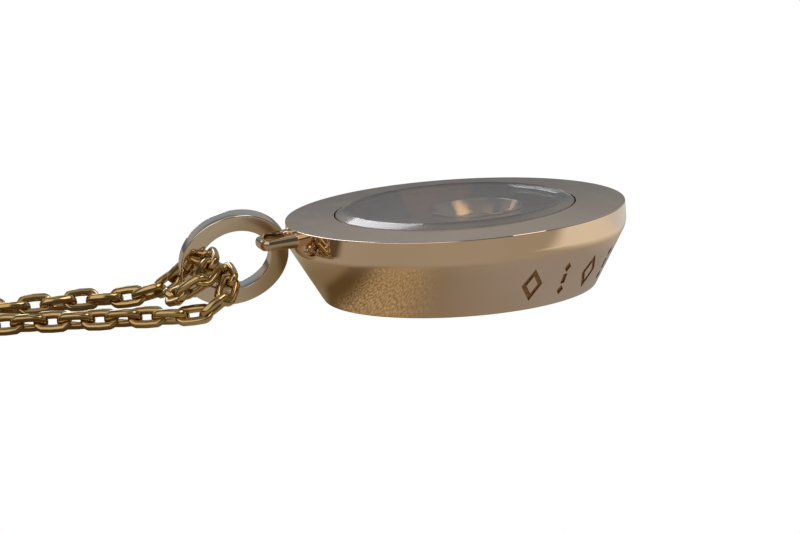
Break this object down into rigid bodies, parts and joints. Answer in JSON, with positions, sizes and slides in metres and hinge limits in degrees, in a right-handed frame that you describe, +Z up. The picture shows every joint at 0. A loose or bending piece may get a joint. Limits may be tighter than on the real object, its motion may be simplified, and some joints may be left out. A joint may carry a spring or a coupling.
{
  "type": "diamond pendant",
  "caption": "Round gold pendant with a loose diamond sliding between two crystals, a flat bail ring in a soldered lug, and a cable chain closed by a clasp, lying on its back.",
  "frame": {"origin": "centre of the case's back, in the plane that it rests on", "axes": "+Z up, out of the front crystal; -X towards the lug, the bail ring and the chain; +Y completes the right-handed frame"},
  "size_m": [0.1867, 0.0928, 0.0045],
  "materials": {
    "case_gold": "polished and satin rose gold",
    "collet_gold": "polished gold",
    "ring_gold": "polished rose gold",
    "chain_gold": "polished gold",
    "crystal": "clear polished crystal",
    "diamond": "faceted brilliant"
  },
  "bodies": {
    "pendant": {"case": "case_gold", "front_crystal": "crystal", "back_crystal": "crystal", "bail_ring": "ring_gold", "chain": "chain_gold", "clasp": "chain_gold"},
    "diamond": {"collet": "collet_gold", "stone": "diamond"}
  },
  "joints": [
    {"name": "diamond_slide", "type": "slide", "parent": "pendant", "child": "diamond", "axis": [1, 0, 0], "range_m": [-0.00365, 0.00185]}
  ]
}
